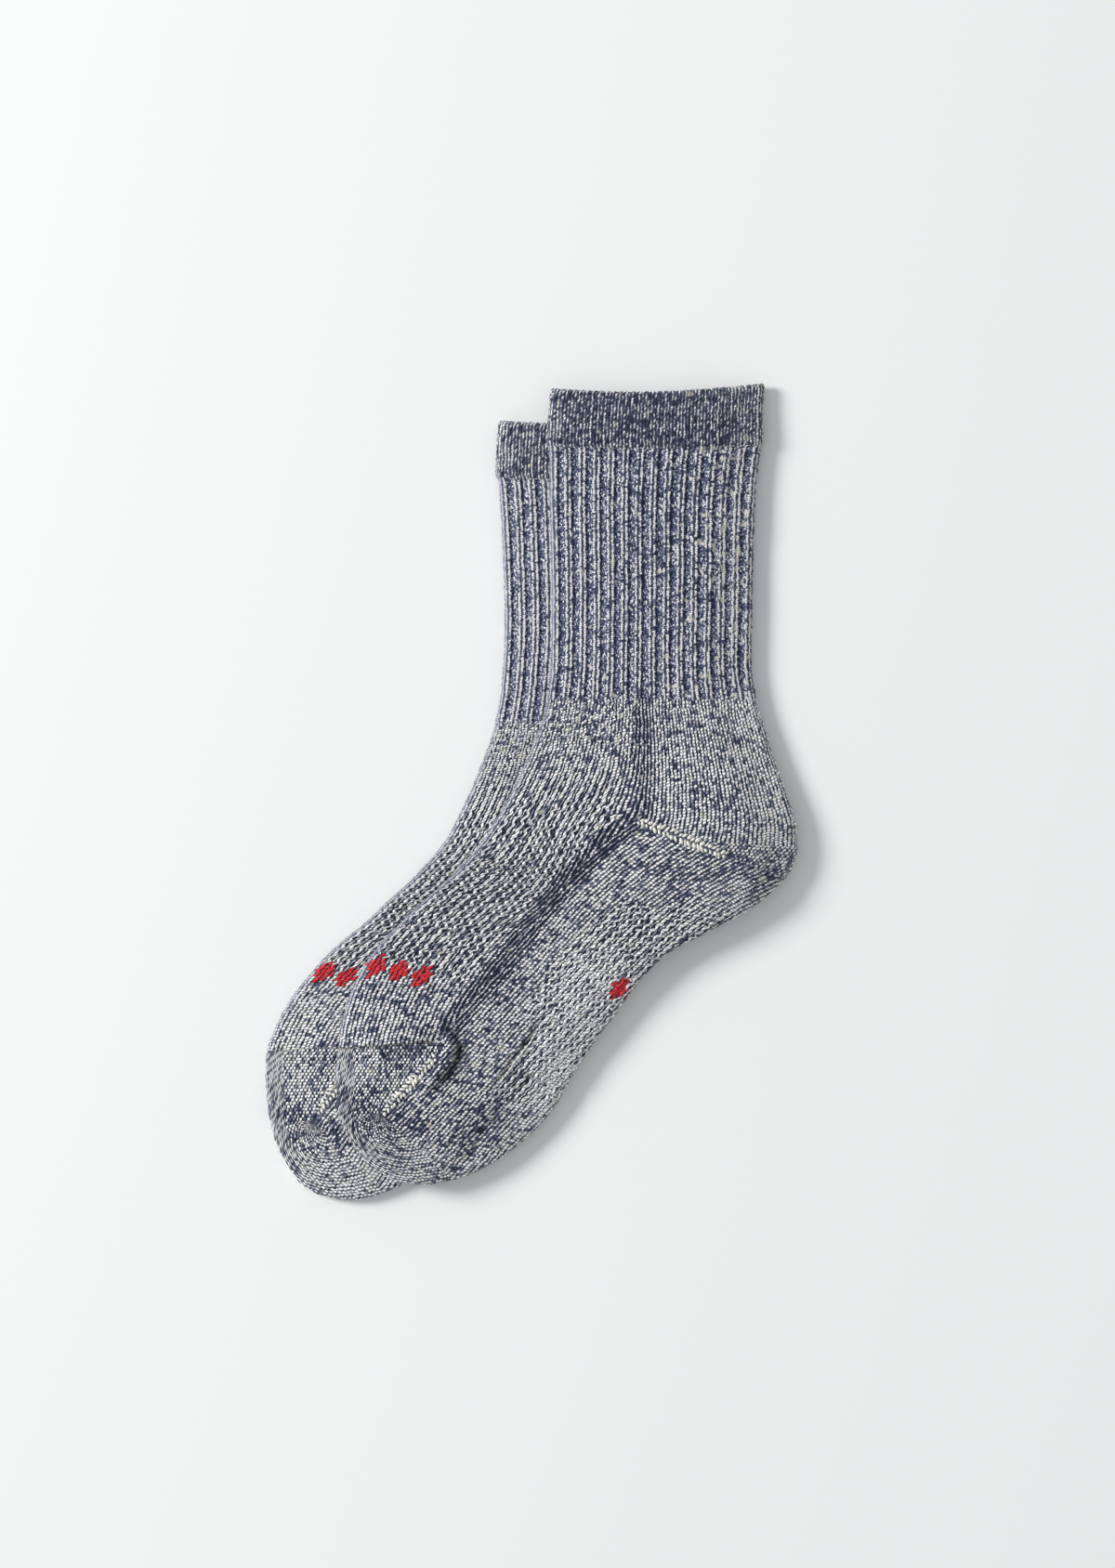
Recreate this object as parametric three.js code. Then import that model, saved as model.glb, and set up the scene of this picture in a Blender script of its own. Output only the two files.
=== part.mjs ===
// A pair of crew socks lying flat, the right sock of the pair over the left one, cuffs up and toes down to the left.
// Millimetres. Looked down on, X runs to the right and Y towards the cuffs, and Z is up from the surface they lie on.
// Each sock is one knitted tube of thick looped cloth, open at the cuff and closed at the toe, pressed flat into two
// layers. The upper sock lies on the lower one and hangs down beside it to the surface.
import * as THREE from "three";

// Cloth
const HOLLOW = 0.6; // space between the two layers of a flat sock
const LEG_RIBS = 15; // broad ribs across one face of the leg
const RIB_DEPTH = 0.7;
const POINTS_PER_RIB = 4; // valley, ridge, ridge, valley
const CUFF_RIB_DEPTH = 0.25; // the cuff's one-by-one ribs, two points to each

// Place of the pair on the surface
const CENTRE_X = 0.1; // middle of the pair's box, in the sections' own coordinates
const CENTRE_Y = -0.1;

// How the upper sock hangs over the lower one
const GRID = 2; // size of a cell of the height grid
const GRID_REACH = 200; // half the grid's width
const CLEARANCE = 0.6; // between the two socks
const SAG_STEPS = 22; // more steps let the cloth span further out from the lower sock's edge
const SETTLE = 0.1; // a spanning height less than this lies on the surface

// Points round a sock
const FOOT_POINTS = 20; // across the upper face of the foot
const INNER_POINTS = 14; // across one face of the hollow
const UNDER_POINTS = 18; // across the underside

const table = (columns, rows) =>
  rows.map((row) => Object.fromEntries(columns.map((name, i) => [name, row[i]])));

// One row for each course of knitting that shapes the sock, from the cuff's edge to the tip of the toe. It runs from
// its end on the front fold to its end on the back fold. mid is the height of the folds, half is half the thickness
// there, crown is how far the middle rises above that, and bow is how far the course bends towards the toe.
// lowerX and lowerY are how far the lower sock's course lies from the upper sock's.
const SECTIONS = table(
  ["frontX", "frontY", "backX", "backY", "mid", "half", "crown", "bow", "lowerX", "lowerY"],
  [
    [8.6, 172.6, 100.0, 175.0, 3.0, 2.4, 0.3, 2.4, -22.4, -13.6], // the cuff's edge
    [8.4, 171.4, 100.0, 173.8, 3.0, 3.0, 0.3, 2.3, -22.4, -13.6],
    [7.4, 160.2, 99.4, 162.6, 3.0, 3.0, 0.4, 1.8, -22.2, -13.4],
    [7.0, 149.4, 99.4, 150.6, 3.0, 3.0, 0.4, 1.3, -22.0, -13.2], // end of the doubled cuff
    [7.8, 146.6, 98.6, 147.4, 2.6, 2.6, 0.4, 1.1, -21.8, -13.2], // ribs begin
    [8.2, 123.0, 96.0, 123.0, 2.6, 2.6, 0.5, 0.5, -20.6, -12.8],
    [9.0, 85.0, 95.0, 85.0, 2.6, 2.6, 0.5, 0.0, -20.2, -12.4],
    [8.8, 57.0, 94.6, 57.0, 2.6, 2.6, 0.6, 0.0, -21.4, -11.6],
    [7.2, 40.2, 96.6, 40.2, 2.8, 2.8, 0.8, 0.0, -22.4, -10.4], // ribs end
    [2.4, 24.2, 103.0, 18.6, 3.0, 3.0, 1.2, 0.0, -22.2, -8.4],
    [-4.4, 7.8, 109.8, -1.4, 3.2, 3.2, 1.5, 0.0, -21.2, -6.4],
    [-11.4, -5.8, 113.9, -15.8, 3.2, 3.2, 1.6, 0.0, -20.0, -5.2], // heel
    [-17.4, -15.8, 114.2, -23.8, 3.2, 3.2, 1.6, 0.0, -19.2, -4.8],
    [-22.6, -23.4, 111.4, -33.4, 3.2, 3.2, 1.6, 0.0, -19.2, -4.0],
    [-27.8, -29.4, 104.2, -42.2, 3.2, 3.2, 1.6, 0.0, -19.2, -3.6],
    [-33.0, -35.0, 91.4, -51.8, 3.2, 3.2, 1.5, 0.0, -19.2, -3.6],
    [-40.6, -41.8, 75.4, -60.2, 3.2, 3.2, 1.4, 0.0, -19.2, -3.6], // arch
    [-51.0, -51.4, 57.4, -70.2, 3.2, 3.2, 1.3, 0.0, -18.8, -3.6],
    [-62.2, -62.6, 45.0, -83.0, 3.2, 3.2, 1.3, 0.0, -20.8, -3.2],
    [-70.2, -72.6, 35.8, -95.8, 3.2, 3.2, 1.3, 0.0, -22.2, -2.8],
    [-76.6, -85.0, 26.2, -108.6, 3.2, 3.2, 1.4, 0.0, -25.2, -2.0],
    [-80.8, -98.6, 17.6, -121.8, 3.2, 3.2, 1.5, 0.0, -28.6, -1.6], // toe seam
    [-82.6, -111.0, 10.0, -135.0, 3.2, 3.2, 1.6, 0.0, -31.0, -1.6],
    [-83.4, -122.2, -0.4, -147.0, 3.2, 3.2, 1.6, 0.0, -30.6, -2.4],
    [-83.0, -131.8, -14.8, -158.2, 3.2, 3.2, 1.5, 0.0, -30.0, -3.6],
    [-81.8, -140.2, -30.0, -165.4, 3.2, 3.2, 1.2, 0.0, -29.4, -5.2],
    [-79.0, -146.6, -45.2, -168.4, 3.2, 3.1, 0.9, 0.0, -29.4, -6.8],
    [-75.2, -152.6, -58.8, -166.2, 3.2, 2.6, 0.5, 0.0, -29.4, -8.0],
    [-71.2, -158.2, -67.2, -161.8, 3.2, 1.4, 0.1, 0.0, -29.4, -8.6], // tip of the toe
  ],
);
const RIBS_BEGIN = 4; // rows of the table
const RIBS_END = 8;
const LAST = SECTIONS.length - 1;
const INNER_LAST = 25; // the hollow ends here, and the closed toe lies beyond it

// Places where the knitted pocket stands up off the other layer: the row of the table, the share of the way from the
// front fold to the back one, the radius of the rise and its height.
const RISES = table(
  ["row", "share", "radius", "height"],
  [
    [12.0, 0.8, 26, 1.8], // heel pocket
    [22.6, 0.42, 24, 1.4], // toe pocket
    [21.0, 0.46, 5, 1.8], // end of the toe seam, where the cloth turns
  ],
);

// A column of the table at a place between its rows, on a curve that never overshoots them.
function smooth(values, place) {
  const i = Math.min(Math.floor(place), values.length - 2);
  const step = (k) => values[k + 1] - values[k];
  const slope = (k) => {
    if (k === 0 || k === values.length - 1) return k ? step(k - 1) : step(0);
    const [before, after] = [step(k - 1), step(k)];
    return before * after > 0 ? (2 * before * after) / (before + after) : 0;
  };
  const t = place - i;
  const rise = t * t * (3 - 2 * t);
  return (
    values[i] + step(i) * rise + slope(i) * t * (1 - t) ** 2 - slope(i + 1) * t * t * (1 - t)
  );
}

const COLUMNS = Object.keys(SECTIONS[0]);
const VALUES = COLUMNS.map((name) => SECTIONS.map((row) => row[name]));
const sectionAt = (place) =>
  Object.fromEntries(COLUMNS.map((name, i) => [name, smooth(VALUES[i], place)]));

// A course as it lies: where its ends are, how wide it is, and the directions across it and towards the toe.
function course(place, isLower) {
  const row = sectionAt(place);
  const shift = new THREE.Vector2(row.lowerX, row.lowerY).multiplyScalar(isLower ? 1 : 0);
  const front = new THREE.Vector2(row.frontX, row.frontY).add(shift);
  const back = new THREE.Vector2(row.backX, row.backY).add(shift);
  const across = back.clone().sub(front);
  const width = across.length();
  across.normalize();
  const toward = new THREE.Vector2(across.y, -across.x);
  return { ...row, front, across, toward, width };
}

const hump = (share) => Math.sin(Math.PI * Math.min(Math.max(share, 0), 1));

// The plan point of a course at a distance from the front fold.
function onPlan(line, distance) {
  const bow = line.bow * hump(distance / line.width);
  return line.front
    .clone()
    .addScaledVector(line.across, distance)
    .addScaledVector(line.toward, bow);
}

// Half of a flattened tube's outline: the distance from the front fold and the height above the folds at a share of
// the way round, over one rounded fold, across the flat and over the other fold.
function halfRound(share, width, half) {
  const radius = Math.min(half, width / 2);
  const quarter = (Math.PI * radius) / 2;
  const length = width - 2 * radius + 2 * quarter;
  const walked = share * length;
  const left = length - walked;
  if (walked < quarter) {
    const turn = walked / radius;
    return { distance: radius * (1 - Math.cos(turn)), height: half * Math.sin(turn) };
  }
  if (left < quarter) {
    const turn = left / radius;
    return { distance: width - radius * (1 - Math.cos(turn)), height: half * Math.sin(turn) };
  }
  return { distance: radius + walked - quarter, height: half };
}

// How far the pockets lift the upper layer at a plan point.
function riseAt(point, isLower) {
  return RISES.reduce((sum, { row, share, radius, height }) => {
    const line = course(row, isLower);
    const away = point.distanceTo(onPlan(line, share * line.width)) / radius;
    return sum + height * Math.exp(-away * away);
  }, 0);
}

// Depth of the ribs' valleys below their ridges at a point of the upper face.
function ribDepth(place, index) {
  if (place < RIBS_BEGIN) return index % 2 ? CUFF_RIB_DEPTH : 0;
  if (place > RIBS_END) return 0;
  const inRib = index % POINTS_PER_RIB;
  const isValley = inRib === 0 || inRib === POINTS_PER_RIB - 1;
  return isValley ? RIB_DEPTH * (place === RIBS_END ? 0.5 : 1) : 0;
}

// One closed ring of the outer face: across the upper layer, then back under the lower one. Each point has its share
// of the way round, a half at the back fold.
function outerRing(sock, place) {
  const line = course(place, sock.isLower);
  const top = place <= RIBS_END ? LEG_RIBS * POINTS_PER_RIB : FOOT_POINTS;
  const under = UNDER_POINTS;
  const ring = [];
  for (let i = 0; i <= top; i++) {
    const { distance, height } = halfRound(i / top, line.width, line.half);
    const plan = onPlan(line, distance);
    const share = height / line.half;
    const raised = line.crown * hump(distance / line.width) + riseAt(plan, sock.isLower) * share;
    const z = line.mid + height + raised - ribDepth(place, i) * share;
    ring.push({ plan, z, round: i / top / 2 });
  }
  for (let i = under - 1; i > 0; i--) {
    const { distance, height } = halfRound(i / under, line.width, line.half);
    ring.push({ plan: onPlan(line, distance), z: line.mid - height, round: 1 - i / under / 2 });
  }
  return ring.map((point) => ({ ...point, z: point.z + sock.support(point.plan) }));
}

// One closed ring of the hollow, a wall's thickness inside the outer face.
function innerRing(sock, place) {
  const line = course(place, sock.isLower);
  const gap = HOLLOW / 2;
  const wall = line.mid - gap;
  const ring = [];
  const at = (i) => wall + (i / INNER_POINTS) * (line.width - 2 * wall);
  const round = (i) => (i + 0.5) / (INNER_POINTS + 1) / 2;
  for (let i = 0; i <= INNER_POINTS; i++) {
    const plan = onPlan(line, at(i));
    const lift = line.crown * hump(at(i) / line.width) + riseAt(plan, sock.isLower);
    ring.push({ plan, z: line.mid + gap + lift, round: round(i) });
  }
  for (let i = INNER_POINTS; i >= 0; i--)
    ring.push({ plan: onPlan(line, at(i)), z: line.mid - gap, round: 1 - round(i) });
  return ring.map((point) => ({ ...point, z: point.z + sock.support(point.plan) }));
}

// A surface gathered from rings of points, with triangles between each ring and the next.
class Surface {
  points = [];
  triangles = [];

  ring(points) {
    const first = this.points.length;
    this.points.push(...points);
    return points.map((_, i) => first + i);
  }

  // Joins two rings that may hold different numbers of points, each starting at the front fold: the ring whose next
  // edge lies nearer to that fold takes the next triangle.
  join(a, b) {
    const middle = (ring, i) => {
      if (i === ring.length) return Infinity;
      const next = i + 1 < ring.length ? this.points[ring[i + 1]].round : 1;
      return (this.points[ring[i]].round + next) / 2;
    };
    let [i, j] = [0, 0];
    while (i < a.length || j < b.length) {
      const [p, q] = [a[i % a.length], b[j % b.length]];
      if (middle(a, i) < middle(b, j)) {
        this.triangles.push([p, q, a[(i + 1) % a.length]]);
        i += 1;
      } else {
        this.triangles.push([p, q, b[(j + 1) % b.length]]);
        j += 1;
      }
    }
  }

  // Closes the end of a tube: the two layers of its last ring meet point by point.
  close(ring, upper) {
    const [top, under] = [ring.slice(0, upper + 1), [ring[0], ...ring.slice(upper + 1).reverse(), ring[upper]]];
    let [i, j] = [0, 0];
    while (i < top.length - 1 || j < under.length - 1) {
      const stepTop = (i + 1) / (top.length - 1) <= (j + 1) / (under.length - 1) || j === under.length - 1;
      const next = stepTop ? top[i + 1] : under[j + 1];
      const corners = [top[i], under[j], next];
      if (new Set(corners).size === 3) this.triangles.push(corners);
      if (stepTop) i += 1;
      else j += 1;
    }
  }

  flip() {
    this.triangles = this.triangles.map(([a, b, c]) => [a, c, b]);
  }

  geometry() {
    const made = new THREE.BufferGeometry();
    const corners = this.points.flatMap(({ plan, z }) => [plan.x, plan.y, z]);
    made.setAttribute("position", new THREE.Float32BufferAttribute(corners, 3));
    made.setIndex(this.triangles.flat());
    made.computeVertexNormals();
    return made;
  }
}

function sockGeometry(sock) {
  const surface = new Surface();
  const places = SECTIONS.map((_, i) => i).flatMap((i) => (i >= RIBS_END && i < LAST ? [i, i + 0.5] : [i]));
  const outer = places.map((place) => surface.ring(outerRing(sock, place)));
  const inner = SECTIONS.slice(0, INNER_LAST + 1).map((_, i) => surface.ring(innerRing(sock, i)));
  const towardRim = inner.reverse();
  const skins = [...towardRim, ...outer];
  skins.slice(1).forEach((ring, i) => surface.join(skins[i], ring));
  surface.close(outer.at(-1), FOOT_POINTS);
  const innerEnd = towardRim[0];
  surface.flip();
  surface.close(innerEnd, INNER_POINTS);
  surface.flip();
  return surface.geometry();
}

// The height at which cloth laid over a sock comes to rest, as a function of the plan point. A grid holds the sock's
// own height, and the cloth is let down on it until it spans from the sock's edge to the surface.
function clothOver(sock) {
  const cells = (2 * GRID_REACH) / GRID;
  const cell = (value) => Math.round((value + GRID_REACH) / GRID);
  const floor = new Float32Array(cells * cells);
  const raise = (x, y, z) => {
    for (const i of [x - 1, x, x + 1])
      for (const j of [y - 1, y, y + 1]) floor[j * cells + i] = Math.max(floor[j * cells + i], z);
  };
  for (let place = 0; place <= LAST; place += 0.1)
    for (let i = 0; i <= 60; i++) {
      const line = course(place, sock.isLower);
      const distance = (i / 60) * line.width;
      const plan = onPlan(line, distance);
      const lift = line.crown * hump(distance / line.width) + riseAt(plan, sock.isLower);
      raise(cell(plan.x), cell(plan.y), line.mid + line.half + lift + CLEARANCE + SETTLE);
    }
  let height = floor.slice();
  for (let step = 0; step < SAG_STEPS; step++) {
    const next = floor.slice();
    for (let k = cells; k < height.length - cells; k++) {
      const mean = (height[k - 1] + height[k + 1] + height[k - cells] + height[k + cells]) / 4;
      next[k] = Math.max(next[k], mean);
    }
    height = next;
  }
  return (plan) => {
    const x = (plan.x + GRID_REACH) / GRID;
    const y = (plan.y + GRID_REACH) / GRID;
    const [i, j] = [Math.floor(x), Math.floor(y)];
    const along = (k) => height[k] * (1 - x + i) + height[k + 1] * (x - i);
    const value = along(j * cells + i) * (1 - y + j) + along((j + 1) * cells + i) * (y - j);
    return Math.max(0, value - SETTLE);
  };
}

function sockMesh(sock) {
  const marl = new THREE.MeshStandardMaterial({ color: 0x7d808a, roughness: 0.95, metalness: 0 });
  const mesh = new THREE.Mesh(sockGeometry(sock), marl);
  mesh.name = sock.name;
  return mesh;
}

const lower = { name: "lower_sock", isLower: true, support: () => 0 };
const upper = { name: "upper_sock", isLower: false, support: clothOver(lower) };

const pair = new THREE.Group();
pair.add(sockMesh(lower), sockMesh(upper));
pair.position.set(-CENTRE_X, -CENTRE_Y, 0);

export default pair;
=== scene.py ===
"""A pair of marled crew socks lying flat on a pale surface, seen from straight above."""
import math
import bpy
import numpy as np
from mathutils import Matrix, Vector


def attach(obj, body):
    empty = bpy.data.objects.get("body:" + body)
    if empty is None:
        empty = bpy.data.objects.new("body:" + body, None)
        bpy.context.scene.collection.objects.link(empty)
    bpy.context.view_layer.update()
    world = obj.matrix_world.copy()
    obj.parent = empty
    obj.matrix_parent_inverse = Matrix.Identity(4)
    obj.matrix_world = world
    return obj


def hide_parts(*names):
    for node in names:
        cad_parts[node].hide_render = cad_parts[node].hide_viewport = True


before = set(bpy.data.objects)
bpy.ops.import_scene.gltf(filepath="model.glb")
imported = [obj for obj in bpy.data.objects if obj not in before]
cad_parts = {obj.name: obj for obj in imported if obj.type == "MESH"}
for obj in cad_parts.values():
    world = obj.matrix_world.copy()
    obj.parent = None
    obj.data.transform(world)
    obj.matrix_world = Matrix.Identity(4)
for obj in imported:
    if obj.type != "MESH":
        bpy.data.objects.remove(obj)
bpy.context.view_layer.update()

# Sizes in millimetres, the same as the solids have. Blender's own are metres.
MM = 0.001
CENTRE = np.array([0.1, -0.1])  # of the pair, in the table's plan
HOLLOW = 0.6  # height of the slit inside a sock
INNER_LAST = 25  # row of the table where the slit ends

# The cloth let down over the lower sock
GRID = 2.0
GRID_REACH = 200.0  # half the width of the sheet of heights
CLEARANCE = 0.6  # between the socks
SAG_STEPS = 160
SETTLE = 0.1  # heights below this lie on the surface

# Knitting: its wales are counted across a face and its courses along the sock
WALES = 60
CUFF_WALES = 56
LEG_RIBS = 15
COURSE = 0.9  # height of a course
ROPE_WALES = 0.9  # between two ropes of stitches
FRONT_CLOSER = 0.87  # wales to a width on the instep, against the leg's
HEEL_CLOSER = 1.06  # and on the heel
SEED_COURSES = 1.4  # height of a stitch in the heel and the toe's cap
RIB_ROPES = 0.16  # of a rib's width, from its middle to its ropes
ROPE_SPREAD = 1.2  # of the stitches' colours
WAVE_COURSES = 4.6  # length of one wave of the foot's wavy ropes
WAVE_SWING = 0.34
WAVE_START = (196.0, 212.0)  # courses over which the waves begin

# Relief of the knitting
RIB_DEPTH = 0.7
RIB_PARTING = 0.16  # between a rib's two ropes
CUFF_RIB_DEPTH = 0.25
WAVE_RISE = 0.5
WAVE_SINK = 0.3  # of the cloth between the wavy ropes
CREASE_DEPTH = 0.5  # beside the narrow fold and the folded corner
SEAM_DEPTH = 0.4
GORE_SWELL = 0.25
SWELL = 0.12  # of the unevenness everywhere
SWELL_SINK = 0.15

# Pale yarn
GORE_PITCH = 1.95
GORE_RISE = 0.25
STITCH_HALF = 1.35  # half length and thickness of a stitch of size 1
STITCH_THICK = 0.68
STITCH_SIDES = 6
STITCH_STATIONS = 5
THREAD_STITCHES = 11

# Fineness of the surface
TOP = 144  # points across the face that shows
UNDER = 16  # and across the underside
ROW_STEP = 0.8
INNER_ROWS = 34  # rings of the slit

# The two rings that round the cuff's edge: their half thickness and how far they stand out
CUFF_EDGE = slice(INNER_ROWS, INNER_ROWS + 2)
LIP_HALF = np.array([0.9, 1.8])
LIP_REACH = np.array([0.35, 0.45])
NUBS = (-0.2, 0.3)  # of the folded edges
BACK_NUBS = 1.6  # how much stronger they are on the back fold
NUBS_SEED = 5

# The courses from cuff to toe, as in the solids: plan places of the front and the back fold, height of the
# middle, half thickness, crown, bow in the plan, and how far the lower sock is shifted
# frontX, frontY, backX, backY, mid, half, crown, bow, lowerX, lowerY
SECTIONS = np.array([
    [8.6, 172.6, 100.0, 175.0, 3.0, 2.4, 0.3, 2.4, -22.4, -13.6],
    [8.4, 171.4, 100.0, 173.8, 3.0, 3.0, 0.3, 2.3, -22.4, -13.6],
    [7.4, 160.2, 99.4, 162.6, 3.0, 3.0, 0.4, 1.8, -22.2, -13.4],
    [7.0, 149.4, 99.4, 150.6, 3.0, 3.0, 0.4, 1.3, -22.0, -13.2],
    [7.8, 146.6, 98.6, 147.4, 2.6, 2.6, 0.4, 1.1, -21.8, -13.2],
    [8.2, 123.0, 96.0, 123.0, 2.6, 2.6, 0.5, 0.5, -20.6, -12.8],
    [9.0, 85.0, 95.0, 85.0, 2.6, 2.6, 0.5, 0.0, -20.2, -12.4],
    [8.8, 57.0, 94.6, 57.0, 2.6, 2.6, 0.6, 0.0, -21.4, -11.6],
    [7.2, 40.2, 96.6, 40.2, 2.8, 2.8, 0.8, 0.0, -22.4, -10.4],
    [2.4, 24.2, 103.0, 18.6, 3.0, 3.0, 1.2, 0.0, -22.2, -8.4],
    [-4.4, 7.8, 109.8, -1.4, 3.2, 3.2, 1.5, 0.0, -21.2, -6.4],
    [-11.4, -5.8, 113.9, -15.8, 3.2, 3.2, 1.6, 0.0, -20.0, -5.2],
    [-17.4, -15.8, 114.2, -23.8, 3.2, 3.2, 1.6, 0.0, -19.2, -4.8],
    [-22.6, -23.4, 111.4, -33.4, 3.2, 3.2, 1.6, 0.0, -19.2, -4.0],
    [-27.8, -29.4, 104.2, -42.2, 3.2, 3.2, 1.6, 0.0, -19.2, -3.6],
    [-33.0, -35.0, 91.4, -51.8, 3.2, 3.2, 1.5, 0.0, -19.2, -3.6],
    [-40.6, -41.8, 75.4, -60.2, 3.2, 3.2, 1.4, 0.0, -19.2, -3.6],
    [-51.0, -51.4, 57.4, -70.2, 3.2, 3.2, 1.3, 0.0, -18.8, -3.6],
    [-62.2, -62.6, 45.0, -83.0, 3.2, 3.2, 1.3, 0.0, -20.8, -3.2],
    [-70.2, -72.6, 35.8, -95.8, 3.2, 3.2, 1.3, 0.0, -22.2, -2.8],
    [-76.6, -85.0, 26.2, -108.6, 3.2, 3.2, 1.4, 0.0, -25.2, -2.0],
    [-80.8, -98.6, 17.6, -121.8, 3.2, 3.2, 1.5, 0.0, -28.6, -1.6],
    [-82.6, -111.0, 10.0, -135.0, 3.2, 3.2, 1.6, 0.0, -31.0, -1.6],
    [-83.4, -122.2, -0.4, -147.0, 3.2, 3.2, 1.6, 0.0, -30.6, -2.4],
    [-83.0, -131.8, -14.8, -158.2, 3.2, 3.2, 1.5, 0.0, -30.0, -3.6],
    [-81.8, -140.2, -30.0, -165.4, 3.2, 3.2, 1.2, 0.0, -29.4, -5.2],
    [-79.0, -146.6, -45.2, -168.4, 3.2, 3.1, 0.9, 0.0, -29.4, -6.8],
    [-75.2, -152.6, -58.8, -166.2, 3.2, 2.6, 0.5, 0.0, -29.4, -8.0],
    [-71.2, -158.2, -67.2, -161.8, 3.2, 1.4, 0.1, 0.0, -29.4, -8.6],
])
LAST = len(SECTIONS) - 1
CUFF_END = 3.5  # places in the table
RIBS_END = 8.0

# row, share, radius, height of the places where the knitted pockets stand up
RISES = [(12.0, 0.8, 26.0, 1.8), (22.6, 0.42, 24.0, 1.4)]
EAR = (21.0, 0.46, 5.0, 1.8)  # the lower sock's folded corner, under the upper one

# Edge of the upper sock's folded corner at the toe, from the seam round to the gore
EAR_EDGE = np.array([
    [-41.0, -101.6], [-37.4, -102.6], [-34.2, -104.8], [-32.4, -108.2], [-32.4, -112.4],
    [-34.4, -116.8], [-37.6, -120.8], [-41.4, -124.6], [-45.4, -128.0], [-49.4, -131.0],
])
EAR_HEIGHT = 3.8
EAR_REACH = 6.0  # inwards from its top
EAR_RIM = 1.8  # from its edge to its top
EAR_ROUND = 3.0
EAR_CREASE = 0.35

# Middles of the rows of red diamonds, and the wales from there to each diamond
MOTIFS = (
    ((-56.6, -77.0), (-4.7, 0.0, 4.7)),
    ((38.0, -84.2), (0.0, 4.7)),
)
MOTIF_WALES = 2.1  # half a diamond's width
MOTIF_COURSES = 7.4  # and half its height

# Lines of the knitting on the upper sock
HEEL_GORE = np.array([[45.9, -12.2], [84.4, -27.4]])
TOE_GORE = np.array([[-40.6, -113.0], [-63.4, -137.8]])
LOWER_GORE_SHIFT = np.array([1.5, 2.6])  # of the toe's gore on the lower sock
TOE_SEAM = np.array([[-82.2, -109.8], [-42.5, -107.0]])
# The dark band between the instep and the sole
BAND = np.array([
    [47.8, 39.0], [47.8, -9.0], [40.2, -15.8], [31.4, -21.0], [24.2, -29.0],
    [11.4, -43.0], [-0.6, -57.4], [-12.6, -75.0], [-28.6, -93.0], [-34.6, -101.0],
])
RIBS_LAST = 35.5  # y of the leg's last course
FOOT_AXIS = np.array([0.677, 0.736])  # from the toe towards the heel
FOOT_SIDE = np.array([0.736, -0.677])  # from the instep towards the sole

# The instep's ropes
FRONT_WALE = 13.0  # the one that the narrowing leaves in its place
LEAN = 0.07  # of the face's width, at most, where the band bends round the ankle
LEAN_MIDDLE = np.array([26.0, -26.0])
LEAN_REACH = 26.0
INSTEP_PITCH = 1.7
TOE_WALE = 24.6  # wale and distance along the sock at the end of the toe's gore
TOE_WALKED = 368.0

# The sole's ropes
SOLE_START = np.array([27.0, -64.9])  # where they begin to bend towards the heel
SOLE_ROW = 17.0  # row of the table there
SOLE_BEND = 200.0  # radius
SOLE_WALE = 43.0
SOLE_PITCH = 1.83  # from wale to wale
FAN_CORE = 12.0  # least radius round the end of the toe's gore at which the courses are counted
FAN_SLACK = 0.6  # radians past the fan in which a point still counts as its first course

# Where the sole's wavy ropes begin
MESH_EDGE = np.array([
    [61.5, -28.2], [35.2, -48.0], [10.1, -69.1], [-1.1, -87.6], [3.5, -99.4], [-6.4, -114.6], [-13.0, -124.5],
])

# A narrow fold on the toe's sole side
RIDGE = np.array([
    [9.0, -92.5], [4.1, -99.8], [0.2, -106.4], [-6.4, -114.9], [-13.0, -124.3], [-17.0, -129.5],
])
THREAD_SPAN = (0.24, 0.8)  # shares of the fold between which a thread lies on it

# Soft creases: points along each one, its depth and its width
CREASES = [
    ([[2.0, -106.0], [-3.0, -120.0], [-12.0, -134.0], [-21.0, -145.0], [-31.0, -158.0]], 0.7, 4.5),
    ([[2.2, 8.0], [16.6, -3.2]], 0.5, 1.7),
    ([[-14.0, -6.0], [-2.0, -16.0], [8.0, -18.0]], 0.4, 2.0),
    ([[84.6, -25.0], [111.0, -41.4]], 0.6, 3.0),
    ([[52.3, -27.0], [65.4, -45.4]], 0.45, 2.2),
    ([[64.8, 112.2], [97.8, 103.6]], 0.4, 1.6),
    ([[68.1, 57.5], [81.3, 41.0]], 0.4, 1.6),
]

# Darker and paler places of the marl: x, y, reach in x and in y, change of the share of cream. The two beside
# the toe's narrow fold are painted shade instead.
SHADES = [
    # heel and ankle
    (74.0, -33.0, 20.0, 8.0, -0.17),
    (98.0, -38.0, 14.0, 9.0, -0.22),
    (68.0, 6.0, 18.0, 22.0, 0.04),
    # toe
    (-72.0, -136.0, 8.0, 9.0, -0.3),
    (-52.0, -143.0, 12.0, 6.0, -0.3),
    (-53.0, -111.0, 11.0, 5.0, -0.28),
    (-29.0, -95.0, 5.0, 6.0, 0.12),
    # these two are painted shade on the narrow fold's side away from the lamp
    (-5.0, -121.0, 4.0, 8.0, -0.25),
    (-22.0, -146.0, 9.0, 9.0, -0.15),
    (-37.0, -118.0, 6.0, 9.0, -0.3),
    (-46.0, -100.0, 10.0, 4.0, -0.12),
    (-20.0, -112.0, 8.0, 16.0, 0.12),
    # sole
    (24.0, -84.0, 18.0, 18.0, 0.38),
    (12.0, -122.0, 16.0, 22.0, 0.56),
    # leg, and the back of the ankle
    (16.0, 100.0, 20.0, 70.0, 0.1),
    (106.0, 0.0, 8.0, 22.0, 0.12),
    (90.0, 100.0, 12.0, 60.0, 0.1),
    # front of the toe, and its tip
    (-70.0, -100.0, 16.0, 14.0, 0.06),
    (-50.0, -158.0, 24.0, 9.0, 0.14),
    (-76.0, -122.0, 8.0, 10.0, 0.12),
]
LOWER_CREAM = 0.12  # how much paler the lower sock is
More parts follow.
